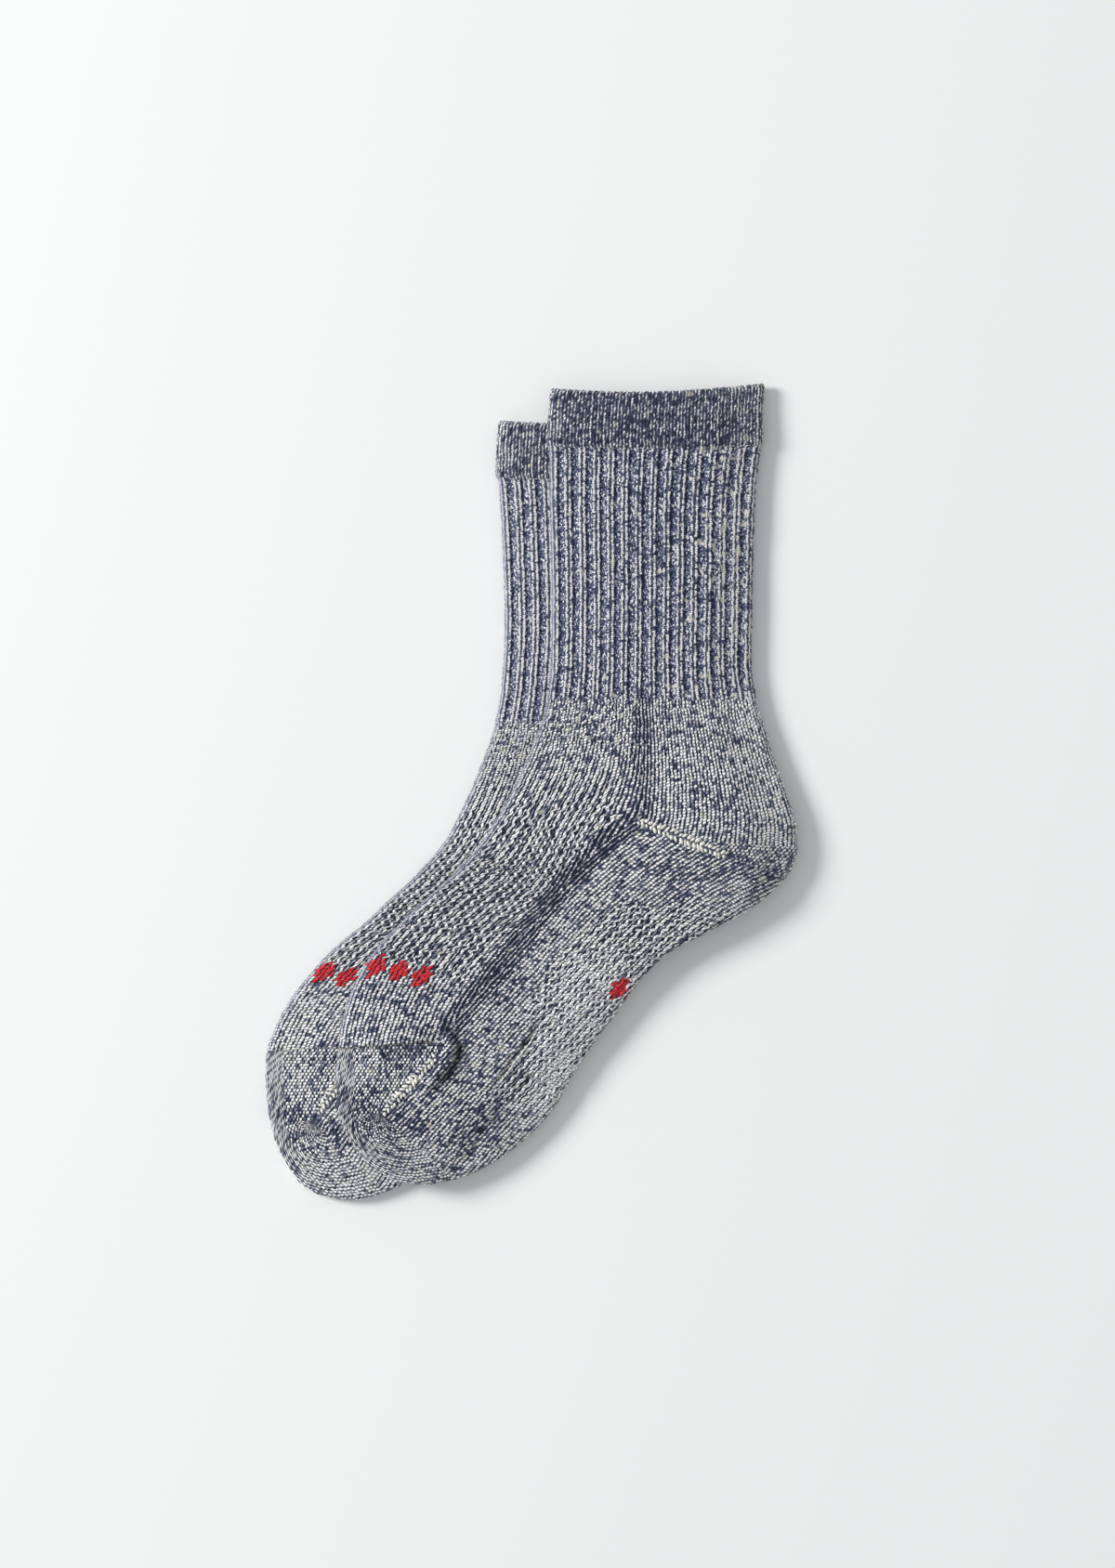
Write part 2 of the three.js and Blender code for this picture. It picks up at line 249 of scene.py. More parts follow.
LOWER_SEAM = 0.5  # how much fainter its toe seam is

# The marl: the zones that its material reads, and its stitches
# the crease zone carries painted shade and the edge zone a painted highlight, besides the knit's own zones
ZONES = ("cuff", "rib", "band", "mesh", "gore", "seam", "cream", "loose", "seeds", "crease", "edge", "plain")
STITCH_COURSES = 1.55  # height of a plain stitch
RIB_ROPE_FIRST = 500.0  # number of the leg's first rope, past all the others
MARL_BUMP = 0.0011  # metres
PALE_BUMP = 0.0002

# The stage, in metres
FLOOR_REACH = 3.0
CAMERA_HEIGHT = 2.4
VIEW_HEIGHT = 0.6752  # of the surface that the picture shows
VIEW_MIDDLE = (0.0114, 0.0034)  # in the table's plan
SENSOR_HEIGHT = 24.0
SKY_STRENGTH = 0.53
WINDOW_PLACE = (-3.27, 1.0, 2.06)
WINDOW_SIZE = 1.35  # across
WINDOW_POWER = 158.0  # watts


def linear(red, green, blue):
    """A colour given as the eye sees it, from 0 to 255."""
    def one(value):
        value /= 255
        return value / 12.92 if value <= 0.04045 else ((value + 0.055) / 1.055) ** 2.4
    return (one(red), one(green), one(blue), 1.0)


# Colours of the plies against the share of cream
PLIES = (
    (0.0, linear(34, 43, 68)),
    (0.3, linear(76, 89, 120)),
    (0.55, linear(137, 145, 166)),
    (0.8, linear(207, 208, 218)),
    (1.0, linear(252, 252, 252)),
)
WARM = linear(242, 238, 226)
RED = linear(238, 30, 42)
# Undyed yarn; its darker stop is painted shade in the hollows between the strands
UNDYED_AND_SHADE = ((0.3, linear(172, 170, 166)), (0.55, linear(244, 241, 231)))


def ease(value, low, high):
    """0 below low, 1 above high and a smooth step between."""
    t = np.clip((value - low) / (high - low), 0, 1)
    return t * t * (3 - 2 * t)


def bell(value, width):
    return np.exp(-(value / width) ** 2)


def smooth(column, place):
    """A column of the table at places between its rows."""
    values = SECTIONS[:, column]
    i = np.minimum(np.floor(place).astype(int), LAST - 1)
    t = place - i
    step = np.diff(values)
    slope = np.empty(LAST + 1)
    slope[0], slope[-1] = step[0], step[-1]
    before, after = step[:-1], step[1:]
    same = before * after > 0
    slope[1:-1] = np.where(same, 2 * before * after / np.where(same, before + after, 1), 0)
    rise = t * t * (3 - 2 * t)
    return values[i] + step[i] * rise + slope[i] * t * (1 - t) ** 2 - slope[i + 1] * t * t * (1 - t)


class Course:
    """The courses at an array of places: their ends, widths and directions."""

    def __init__(self, place, lower):
        place = np.atleast_1d(np.asarray(place, float))
        columns = [smooth(k, place) for k in range(SECTIONS.shape[1])]
        self.mid, self.half, self.crown, self.bow = columns[4:8]
        shift = np.stack(columns[8:10], 1) * lower
        self.front = np.stack(columns[0:2], 1) + shift
        back = np.stack(columns[2:4], 1) + shift
        across = back - self.front
        self.width = np.linalg.norm(across, axis=1)
        self.across = across / self.width[:, None]
        self.toward = np.stack([self.across[:, 1], -self.across[:, 0]], 1)

    def plan(self, distance):
        """Plan points at distances from the front fold, one row of them for each course."""
        bow = self.bow[:, None] * self.hump(distance)
        return (self.front[:, None] + self.across[:, None] * distance[..., None]
                + self.toward[:, None] * bow[..., None])

    def hump(self, distance):
        return np.sin(np.pi * np.clip(distance / self.width[:, None], 0, 1))


def half_round(share, width, half):
    """Distance from the front fold and height above it at shares of the way over the flattened tube."""
    radius = np.minimum(half, width / 2)[:, None]
    half = half[:, None]
    width = width[:, None]
    quarter = np.pi * radius / 2
    length = width - 2 * radius + 2 * quarter
    walked = share * length
    left = length - walked
    turn_in = np.minimum(walked / radius, np.pi / 2)
    turn_out = np.minimum(left / radius, np.pi / 2)
    distance = np.where(walked < quarter, radius * (1 - np.cos(turn_in)), radius + walked - quarter)
    distance = np.where(left < quarter, width - radius * (1 - np.cos(turn_out)), distance)
    height = half * np.minimum(np.sin(turn_in), np.sin(turn_out))
    return distance, height


def rise_at(plan, lower, ear=True):
    total = 0
    for row, share, radius, height in RISES + [EAR] * ear:
        line = Course(row, lower)
        centre = line.plan(np.array([[share * line.width[0]]]))[0, 0]
        away = np.linalg.norm(plan - centre, axis=-1) / radius
        total = total + height * np.exp(-away ** 2)
    return total


def cloth_over():
    """The height of cloth let down over the lower sock, as a function of the plan point."""
    cells = int(2 * GRID_REACH / GRID)
    floor = np.zeros((cells, cells))
    line = Course(np.arange(0, LAST + 0.01, 0.1).clip(0, LAST), 1)
    distance = np.linspace(0, 1, 61)[None] * line.width[:, None]
    plan = line.plan(distance)
    lift = line.crown[:, None] * line.hump(distance) + rise_at(plan, 1)
    height = (line.mid + line.half)[:, None] + lift + CLEARANCE + SETTLE
    cell = np.floor((plan + GRID_REACH) / GRID + 0.5).astype(int)
    for i in (-1, 0, 1):
        for j in (-1, 0, 1):
            np.maximum.at(floor, (cell[..., 1] + j, cell[..., 0] + i), height)
    level = floor.copy()
    for _ in range(SAG_STEPS):
        mean = (level[1:-1, :-2] + level[1:-1, 2:] + level[:-2, 1:-1] + level[2:, 1:-1]) / 4
        level[1:-1, 1:-1] = np.maximum(floor[1:-1, 1:-1], mean)

    def support(plan):
        x, y = (plan[..., 0] + GRID_REACH) / GRID, (plan[..., 1] + GRID_REACH) / GRID
        i, j = np.floor(x).astype(int), np.floor(y).astype(int)
        x, y = x - i, y - j
        value = ((level[j, i] * (1 - x) + level[j, i + 1] * x) * (1 - y)
                 + (level[j + 1, i] * (1 - x) + level[j + 1, i + 1] * x) * y)
        return np.maximum(0, value - SETTLE)

    return support


def measure(points, line):
    """Distance to a polyline, the same with a sign, positive on its right, and the share along it."""
    best = np.full(points.shape[:-1], 1e9)
    signed = best.copy()
    along = np.zeros(points.shape[:-1])
    for i, (a, b) in enumerate(zip(line[:-1], line[1:])):
        step = b - a
        t = np.clip((points - a) @ step / (step @ step), 0, 1)
        away = points - a - t[..., None] * step
        distance = np.linalg.norm(away, axis=-1)
        nearer = distance < best
        side = np.sign(away @ np.array([step[1], -step[0]]))
        signed = np.where(nearer, side * distance, signed)
        along = np.where(nearer, (i + t) / (len(line) - 1), along)
        best = np.minimum(best, distance)
    return best, signed, along


def to_line(points, line):
    return measure(points, line)[0]


def beside(points, line):
    return measure(points, line)[1:]


def beyond(points, line):
    """Distance from a straight line, positive on its left."""
    along = line[1] - line[0]
    along = along / np.linalg.norm(along)
    return (points - line[0]) @ np.array([-along[1], along[0]])


def walked_at(places):
    """How far along the sock places are, midway between its folds."""
    line = Course(places, 0)
    back = line.front + line.across * line.width[:, None]
    steps = (np.linalg.norm(np.diff(line.front, axis=0), axis=1)
             + np.linalg.norm(np.diff(back, axis=0), axis=1)) / 2
    return np.concatenate([[0], np.cumsum(steps)])


PLACES = np.linspace(0, LAST, 2801)
WALKED = walked_at(PLACES)
SOLE_WALKED = np.interp(SOLE_ROW, PLACES, WALKED)


def along_foot(points, start):
    """How far points are from start, towards the heel and towards the sole."""
    away = points - start
    return away @ FOOT_AXIS, away @ FOOT_SIDE


def front_stitches(points, wale, walked, place, share):
    """Wale and distance on the leg and the instep, whose wales turn with the foot and again with the toe."""
    lean = LEAN * bell(np.linalg.norm(points - LEAN_MIDDLE, axis=-1), LEAN_REACH)
    lean = WALES * lean * (1 - ease(share, 0.85, 1.0))
    narrowing = (1 - FRONT_CLOSER) * ease(place, 9.5, 16.0)
    wale = FRONT_WALE + (wale + lean - FRONT_WALE) * (1 - narrowing)
    up, side = along_foot(points, TOE_GORE[1])
    weight = (1 - ease(up, 20.0, 60.0)) * ease(side, -10.0, 0.0)
    wale = wale * (1 - weight) + (TOE_WALE + side / INSTEP_PITCH) * weight
    return wale, walked * (1 - weight) + (TOE_WALKED - up) * weight


def sole_stitches(points):
    """Wale and distance on the sole, whose wales run straight along the foot and bend at the heel."""
    up, side = along_foot(points, SOLE_START)
    centre = SOLE_START + FOOT_SIDE * SOLE_BEND
    radius = np.linalg.norm(points - centre, axis=-1)
    turn = np.arctan2(points[..., 1] - centre[1], points[..., 0] - centre[0])
    turn = turn - math.atan2(SOLE_START[1] - centre[1], SOLE_START[0] - centre[0])
    wale = SOLE_WALE + np.where(up > 0, SOLE_BEND - radius, side) / SOLE_PITCH
    return wale, SOLE_WALKED + np.where(up > 0, SOLE_BEND * turn, -up)


def cap_stitches(points):
    """Wale and distance in the toe's cap, where the sole's wales go round the end of the gore."""
    up, side = along_foot(TOE_GORE[1], SOLE_START)
    away = points - TOE_GORE[1]
    radius = np.linalg.norm(away, axis=-1)
    turn = np.arctan2(-away[..., 1], -away[..., 0]) % (2 * np.pi)
    span = np.pi - math.atan2(-FOOT_SIDE[1], FOOT_SIDE[0])
    turn = np.where(turn > span + FAN_SLACK, 0, turn)
    in_fan = away[..., 1] < 0
    wale = SOLE_WALE + side / SOLE_PITCH + np.where(in_fan, radius, -away[..., 0]) / SOLE_PITCH
    round_end = (span - turn) * np.maximum(radius, FAN_CORE)
    past_end = span * np.maximum(-away[..., 0], FAN_CORE) + away[..., 1]
    return wale, SOLE_WALKED - up + np.where(in_fan, round_end, past_end)


def knit(points, place, share):
    """Wales and courses of points of the upper sock, as each of the four regions counts them."""
    wale = WALES * share
    walked = np.interp(place, PLACES, WALKED) + 0 * share
    counted = (
        front_stitches(points, wale, walked, place, share),
        (WALES + (wale - WALES) * HEEL_CLOSER, walked),
        sole_stitches(points),
        cap_stitches(points),
    )
    return np.stack([pair[0] for pair in counted]), np.stack([pair[1] for pair in counted]) / COURSE


def region(points):
    """0 on the leg and the instep, 1 on the heel, 2 on the sole and 3 in the toe's cap."""
    behind_band = beside(points, BAND)[0] < 0
    above_gore = beyond(points, HEEL_GORE) > 0
    found = np.where(behind_band, np.where(above_gore, 1, 2), 0)
    found = np.where(points[..., 1] > RIBS_LAST, 0, found)
    return np.where(in_cap(points), 3, found)


def pick(choices, where):
    return np.take_along_axis(choices, where[None], 0)[0]


def in_cap(points):
    """True in the toe's cap: below the seam, above the gore and round its end."""
    up, side = along_foot(points, TOE_GORE[1])
    under_seam = beyond(points, TOE_SEAM) < 0
    return np.where(points[..., 1] - TOE_GORE[1, 1] > 0, under_seam & (side < 0), up < 0)


def blot(points, x, y, reach_x, reach_y):
    """1 at a place and less and less round it."""
    return np.exp(-((points[..., 0] - x) / reach_x) ** 2 - ((points[..., 1] - y) / reach_y) ** 2)


def zones(points, place, share):
    """Weights of the kinds of knitting at points of the upper sock, and the share of cream in its yarn."""
    part = region(points)
    made = {}
    made["cuff"] = 1 - ease(place, CUFF_END - 0.25, CUFF_END + 0.15) + 0 * share
    on_leg = ease(place, CUFF_END - 0.05, CUFF_END + 0.3) * (1 - ease(place, RIBS_END - 0.16, RIBS_END + 0.2))
    made["rib"] = on_leg + 0 * share
    high = ease(points[..., 1], -12.0, 6.0)
    made["band"] = (1 - ease(to_line(points, BAND) + high * 0.8, 3.6, 6.0)) * (1 - 0.25 * high)
    instep = ease(place, 9.2, 10.6) * (1 - ease(place, 18.6, 19.6))
    instep = instep * ease(share, 0.0, 0.04) * (1 - ease(share, 0.36, 0.42))
    sole = ease(place, 14.4, 15.8) * (1 - ease(place, 21.6, 22.8)) * (part == 2)
    sole = sole * ease(-beside(points, MESH_EDGE)[0], 0.0, 2.5)
    made["mesh"] = np.maximum(instep, sole) * (1 - made["band"])
    gore = np.minimum(to_line(points, HEEL_GORE), to_line(points, TOE_GORE))
    made["gore"] = 1 - ease(gore, 0.9, 2.2)
    made["seam"] = to_line(points, TOE_SEAM)
    made["seeds"] = ((part == 3) | (part == 1) & (place > 12.0)).astype(float)
    # a groove beside the toe's narrow fold: sunk in the form, and painted shade in the colour
    fold, along = beside(points, RIDGE)
    made["crease"] = bell(fold - 1.3, 1.1) * ease(along, 0.0, 0.3) * (1 - ease(along, 0.75, 1.0))
    # painted highlight along the front fold, where the cloth turns up to the lamp, with less contrast in its
    # stitches
    made["edge"] = (1 - ease(share, 0.016, 0.05)) * ease(place, 2.6, 3.6) * (1 - ease(place, 20.0, 24.0))
    made["plain"] = blot(points, 92.0, -40.0, 26.0, 17.0)
    below_ribs = ease(place, 7.6, 8.4) * (1 - ease(place, 8.6, 10.0)) * (1 - ease(share, 0.4, 0.5))
    made["loose"] = below_ribs + made["rib"] * (0.1 + 0.6 * ease(share, 0.4, 0.95))
    made["cream"] = cream_share(points, place, share, part, made)
    return made


def cream_share(points, place, share, part, made):
    """How much cream the yarn shows."""
    cream = 0.97 - 0.36 * made["cuff"] + 0.1 * made["rib"] - 0.18 * made["band"]
    folds = np.maximum(1 - ease(share, 0.05, 0.12), ease(share, 0.93, 0.98))
    rim = 1 - ease(place, 0.05, 0.3) + 0.5 * made["cuff"] * folds
    # the last term is painted light: paler towards the back fold, against the shade of the side that turns
    # away from the lamp
    cream = cream + 0.3 * rim + 0.1 * ease(share, 0.7, 0.95)
    for x, y, reach_x, reach_y, change in SHADES:
        cream = cream + change * blot(points, x, y, reach_x, reach_y)
    # painted shade: less cream along the creases
    for line, depth, width in CREASES:
        cream = cream - 0.16 * depth * bell(to_line(points, np.array(line)), width)
    under_seam = (part == 3) * (points[..., 1] > TOE_GORE[1, 1])
    return cream + 0.07 * (part == 3) - 0.05 * under_seam + 0.14 * made["mesh"]


def relief(wale, course, zone, points):
    """How far the knitting stands above or below the cloth's face."""
    rib = np.abs(((wale * LEG_RIBS / WALES) % 1) - 0.5) * 2
    rib_form = -RIB_DEPTH * ease(rib, 0.45, 0.85) - RIB_PARTING * bell(rib, 0.16)
    cuff_wale = wale * CUFF_WALES / WALES / 2
    cuff_form = -CUFF_RIB_DEPTH * (0.5 - 0.5 * np.cos(2 * np.pi * cuff_wale))
    swing = WAVE_SWING / 2 * np.sin(2 * np.pi * course / WAVE_COURSES) * ease(course, *WAVE_START)
    line = wale / ROPE_WALES / 2 - swing
    wave_form = WAVE_RISE * bell(line - np.floor(line + 0.5), 0.2) - WAVE_SINK
    trough = -CREASE_DEPTH * zone["crease"]
    for crease, depth, width in CREASES:
        trough = trough - depth * bell(to_line(points, np.array(crease)), width)
    seam_form = -SEAM_DEPTH * bell(zone["seam"], 0.8)
    x, y = points[..., 0], points[..., 1]
    waves = np.sin(x * 0.21 + 1.3) * np.sin(y * 0.17 + 0.4) + np.sin(x * 0.11 - y * 0.13)
    soft = waves * SWELL - SWELL_SINK
    return (rib_form * zone["rib"] + cuff_form * zone["cuff"] + wave_form * zone["mesh"] + seam_form
            + GORE_SWELL * zone["gore"] + trough + soft * (1 - zone["cuff"]))


class Sock:
    """One sock's surface: rings of points from the slit's end, over the cuff's edge and down to the toe."""

    def __init__(self, lower, support):
        self.lower = lower
        total = WALKED[-1]
        rows = int(round(total / ROW_STEP))
        outer = np.interp(np.linspace(0, total, rows + 1), WALKED, PLACES)
        inner = np.linspace(INNER_LAST, 0, INNER_ROWS)
        self.place = np.concatenate([inner, [0.0, 0.0], outer])
        self.rows = len(self.place)
        is_inner = np.arange(self.rows) < INNER_ROWS
        share = np.concatenate([np.arange(TOP) / TOP, 1 - np.arange(UNDER + 1) / UNDER])
        is_top = np.concatenate([np.ones(TOP, bool), np.zeros(UNDER + 1, bool)])
        self.share = np.broadcast_to(share, (self.rows, len(share)))
        line = Course(self.place, lower)
        same = Course(self.place, 0)
        distance, height, half = self.section(line, is_inner)
        plan = line.plan(distance) - line.toward[:, None] * self.lip()[..., None]
        reference = same.plan(distance / line.width[:, None] * same.width[:, None])
        over = height / half[:, None]
        ear, crease = self.ear(reference)
        lift = line.crown[:, None] * line.hump(distance) + rise_at(plan, lower, ear=False) + ear
        zone = zones(reference, self.place[:, None], self.share)
        zone["crease"] = zone["crease"] + crease
        zone["cream"] = zone["cream"] + LOWER_CREAM * lower
        zone["seam"] = zone["seam"] + LOWER_SEAM * lower
        wales, courses = knit(reference, self.place[:, None], self.share)
        here = region(reference)
        wale, course = pick(wales, here), pick(courses, here)
        form = relief(wale, course, zone, reference) * ~is_inner[:, None]
        top = line.mid[:, None] + height + lift * over + form * over
        under = line.mid[:, None] - height
        z = np.where(is_top, top, under) + support(plan)
        self.points = np.concatenate([plan - CENTRE, z[..., None]], -1)
        self.wale, self.course = wale, course
        self.fields = np.where(is_top, wales, 2 * WALES - wales), courses
        self.reference = reference
        self.zone = zone

    def section(self, line, is_inner):
        """Distance across and height of each point, and the half thickness of each ring."""
        gap = HOLLOW / 2
        half = np.where(is_inner, gap, line.half)
        half[CUFF_EDGE] = LIP_HALF
        inset = np.where(is_inner, line.half - gap, 0)
        inset[CUFF_EDGE] = line.half[CUFF_EDGE] - LIP_HALF
        distance, height = half_round(self.share, line.width - 2 * inset, half)
        random = np.random.default_rng(NUBS_SEED + self.lower)
        nubs = random.uniform(*NUBS, distance.shape) * (~is_inner)[:, None]
        near_front = self.share < 1.5 / TOP
        near_back = self.share > 1 - 1.5 / TOP
        distance = distance + inset[:, None] + nubs * (near_back * BACK_NUBS - near_front)
        return distance, height, half

    def lip(self):
        """How far the rings of the cuff's edge stand out, most at each rope."""
        reach = np.zeros(self.rows)
        reach[CUFF_EDGE] = LIP_REACH
        return reach[:, None] * (1 + 0.7 * np.cos(np.pi * WALES * self.share / ROPE_WALES))

    def ear(self, reference):
        """The corner where the toe's seam and gore meet, folded over the sole's side, and its crease."""
        inside, along = beside(reference, EAR_EDGE)
        fade = ease(along, 0.05, 0.4) * (1 - ease(along, 0.6, 1.0))
        rounding = np.sqrt(np.clip(1 - ((EAR_RIM - inside) / EAR_ROUND) ** 2, 0, 1))
        fold = np.where(inside > EAR_RIM, bell(inside - EAR_RIM, EAR_REACH), rounding)
        # the crease beside the folded corner is sunk in the form and also darkens the colour: painted shade
        crease = bell(inside + 1.5, 1.6) * fade
        return EAR_HEIGHT * fold * fade - EAR_CREASE * crease, crease

    def nearest(self, place):
        """The ring and point of the top face closest to a place on the upper sock's plan."""
        away = np.linalg.norm(self.reference[INNER_ROWS + 2:, :TOP] - np.array(place), axis=-1)
        row, column = np.unravel_index(away.argmin(), away.shape)
        return row + INNER_ROWS + 2, column

    def at(self, place):
        """Where a place on the upper sock's plan is on this sock's top face."""
        row, column = self.nearest(place)
        point = self.points[row, column].copy()
        point[:2] += np.array(place) - self.reference[row, column]
        return point

    def motifs(self):
        """Wales and courses of the diamonds' middles."""
        found = []
        for place, steps in MOTIFS:
            row, column = self.nearest(place)
            for step in steps:
                found.append((float(self.wale[row, column] + step), float(self.course[row, column])))
        return found

    def corner_stitches(self):
        """Wale and course at the corners of the quads, as each quad's own region counts them."""
        middle = (self.reference[:-1, :-1] + self.reference[1:, 1:]) / 2
        here = region(middle)[None, ..., None]
        found = []
        for field in self.fields:
            near, far = field[:, :-1], field[:, 1:]
            around = np.stack([near[..., :-1], near[..., 1:], far[..., 1:], far[..., :-1]], -1)
            picked = np.take_along_axis(around, np.broadcast_to(here, (1,) + around.shape[1:]), 0)[0]
            found.append(picked.reshape(-1, 4)[:, ::-1].reshape(-1))
        return np.stack(found, -1)

    def build(self, name, material):
        columns = self.points.shape[1] - 1
        corner = self.points[:, :columns].reshape(-1, 3) * MM
        rows = np.arange(self.rows - 1)[:, None] * columns
        col = np.arange(columns)[None]
        nxt = (col + 1) % columns
        quads = np.stack([rows + col, rows + nxt, rows + columns + nxt, rows + columns + col], -1)
        quads = quads.reshape(-1, 4)[:, ::-1]
        ends = []
        centres = []
        for row, flip in ((0, 1), (self.rows - 1, 0)):
            ring = row * columns + np.arange(columns)
            centres.append(corner[ring].mean(axis=0))
            hub = len(corner) + len(centres) - 1
            after = np.roll(ring, -1)
            ends += [[hub, b, a] if flip else [hub, a, b] for a, b in zip(ring, after)]
        corner = np.concatenate([corner, centres])
        mesh = bpy.data.meshes.new(name)
        mesh.from_pydata(corner.tolist(), [], quads.tolist() + ends)
        mesh.polygons.foreach_set("use_smooth", np.ones(len(mesh.polygons), bool))
        uv = np.concatenate([self.corner_stitches(), np.zeros((len(ends) * 3, 2))])
        mesh.uv_layers.new(name="knit").data.foreach_set("uv", uv.astype(np.float32).ravel())
        for key, value in self.zone.items():
            data = np.concatenate([value[:, :columns].ravel(), [0, 0]]).astype(np.float32)
            mesh.attributes.new(key, "FLOAT", "POINT").data.foreach_set("value", data)
        sock = bpy.data.objects.new(name, mesh)
        bpy.context.collection.objects.link(sock)
        mesh.materials.append(material)
        mesh.validate()
        return sock


class Yarn:
    """Thick pale stitches on a sock's top face."""

    def __init__(self, sock, seed):
        self.sock = sock
        self.random = np.random.default_rng(seed)
        self.corners = []
        self.faces = []

    def add_stitch(self, place, lean, half, thick):
        """An ellipsoid lying along lean, over a place on the upper sock's plan."""
        middle = self.sock.at(place) + np.array([0, 0, GORE_RISE])
        lean = lean / np.linalg.norm(lean)
        across = np.array([-lean[1], lean[0]])
        first = len(self.corners)
        for s in np.linspace(-1, 1, STITCH_STATIONS):
            girth = thick * math.sqrt(max(0.04, 1 - s * s))
            for j in range(STITCH_SIDES):
                turn = j * 2 * math.pi / STITCH_SIDES
                x, y = lean * s * half + across * girth * math.cos(turn)
                self.corners.append([middle[0] + x, middle[1] + y, middle[2] + girth * math.sin(turn)])
        for k in range(STITCH_STATIONS - 1):
            for j in range(STITCH_SIDES):
                a = first + k * STITCH_SIDES + j
                b = first + k * STITCH_SIDES + (j + 1) % STITCH_SIDES
                self.faces.append([a, b, b + STITCH_SIDES, a + STITCH_SIDES])
        last = first + (STITCH_STATIONS - 1) * STITCH_SIDES
        self.faces.append([first + j for j in reversed(range(STITCH_SIDES))])
        self.faces.append([last + j for j in range(STITCH_SIDES)])

    def add_gore(self, line, width, size):
        """Two slanting rows along a gore."""
        random = self.random
        along = line[1] - line[0]
        length = np.linalg.norm(along)
        along = along / length
        normal = np.array([-along[1], along[0]])
        count = int(length / GORE_PITCH)
        for i in range(count):
            taper = 0.65 + 0.35 * math.sin(math.pi * (i + 0.5) / count)
            for side in (-1, 1):
                place = line[0] + along * (i + 0.5 + 0.25 * side + random.uniform(-0.2, 0.2)) * GORE_PITCH
                place = place + normal * side * width * taper * random.uniform(0.35, 0.6)
                lean = along * (0.62 + random.uniform(-0.35, 0.35)) + normal * side * 0.78
                half = STITCH_HALF * size * taper * random.uniform(0.65, 1.2)
                thick = STITCH_THICK * size * random.uniform(0.65, 1.15)
                self.add_stitch(place, lean, half, thick)

    def add_thread(self):
        """A tapered thread on the fold of the toe's sole side."""
        knots = np.linspace(*THREAD_SPAN, THREAD_STITCHES + 1) * (len(RIDGE) - 1)
        thread = np.stack([np.interp(knots, np.arange(len(RIDGE)), RIDGE[:, k]) for k in (0, 1)], 1)
        for i, (a, b) in enumerate(zip(thread[:-1], thread[1:])):
            step = b - a
            length = np.linalg.norm(step)
            across = np.array([-step[1], step[0]]) / length
            place = (a + b) / 2 + across * self.random.uniform(-0.2, 0.2)
            taper = 0.5 + 0.5 * math.sin(math.pi * (i + 0.5) / THREAD_STITCHES)
            lean = step / length + across * self.random.uniform(-0.15, 0.15)
            self.add_stitch(place, lean, 0.62 * length, 0.4 * taper)

    def build(self, name):
        mesh = bpy.data.meshes.new(name)
        mesh.from_pydata((np.array(self.corners) * MM).tolist(), [], self.faces)
        mesh.polygons.foreach_set("use_smooth", np.ones(len(mesh.polygons), bool))
        piece = bpy.data.objects.new(name, mesh)
        bpy.context.collection.objects.link(piece)
        mesh.materials.append(pale_yarn(name))
        return piece


def gore_stitches(sock, name, seed):
    """The pale stitches along both gores and the thread on the toe's narrow fold."""
    yarn = Yarn(sock, seed)
    yarn.add_gore(HEEL_GORE, 2.7, 1.15)
    yarn.add_gore(TOE_GORE + LOWER_GORE_SHIFT * sock.lower, 2.3, 1.05)
    yarn.add_thread()
    return yarn.build(name)


class Field:
    """A number that varies over a surface, with arithmetic that makes Math nodes."""

    def __init__(self, tree, socket):
        self.tree = tree
        self.socket = socket

    def _math(self, operation, *values):
        node = self.tree.nodes.new("ShaderNodeMath")
        node.operation = operation
        for socket, value in zip(node.inputs, values):
            join(self.tree, value, socket)
        return Field(self.tree, node.outputs[0])

    def __add__(self, other):
        return self._math("ADD", self, other)

    __radd__ = __add__

    def __sub__(self, other):
        return self._math("SUBTRACT", self, other)

    def __rsub__(self, other):
        return self._math("SUBTRACT", other, self)

    def __mul__(self, other):
        return self._math("MULTIPLY", self, other)

    def __truediv__(self, other):
        return self._math("DIVIDE", self, other)

    def floor(self):
        return self._math("FLOOR", self)

    def fraction(self):
        return self._math("FRACT", self)

    def sine(self):
        return self._math("SINE", self)

    def absolute(self):
        return self._math("ABSOLUTE", self)

    def power(self, other):
        return self._math("POWER", self, other)

    def above(self, other):
        return self._math("GREATER_THAN", self, other)

    def most(self, other):
        return self._math("MAXIMUM", self, other)

    def least(self, other):
        return self._math("MINIMUM", self, other)

    def ease(self, low, high):
        node = self.tree.nodes.new("ShaderNodeMapRange")
        node.interpolation_type = "SMOOTHSTEP"
        join(self.tree, self, node.inputs["Value"])
        join(self.tree, low, node.inputs["From Min"])
        join(self.tree, high, node.inputs["From Max"])
        return Field(self.tree, node.outputs["Result"])


def join(tree, value, socket):
    if isinstance(value, Field):
        tree.links.new(value.socket, socket)
    else:
        socket.default_value = value


def vector(tree, x, y, z):
    node = tree.nodes.new("ShaderNodeCombineXYZ")
    for socket, value in zip(node.inputs, (x, y, z)):
        join(tree, value, socket)
    return Field(tree, node.outputs[0])


def speckle(tree, x, y, z):
    """A random number from 0 to 1 for each whole x and y."""
    node = tree.nodes.new("ShaderNodeTexWhiteNoise")
    node.noise_dimensions = "3D"
    join(tree, vector(tree, x, y, z), node.inputs["Vector"])
    return Field(tree, node.outputs["Value"])


def cloud(tree, x, y, z, detail):
    """Smooth noise from 0 to 1."""
    node = tree.nodes.new("ShaderNodeTexNoise")
    node.noise_dimensions = "3D"
    node.inputs["Scale"].default_value = 1.0
    node.inputs["Detail"].default_value = detail
    join(tree, vector(tree, x, y, z), node.inputs["Vector"])
    return Field(tree, node.outputs["Fac"])


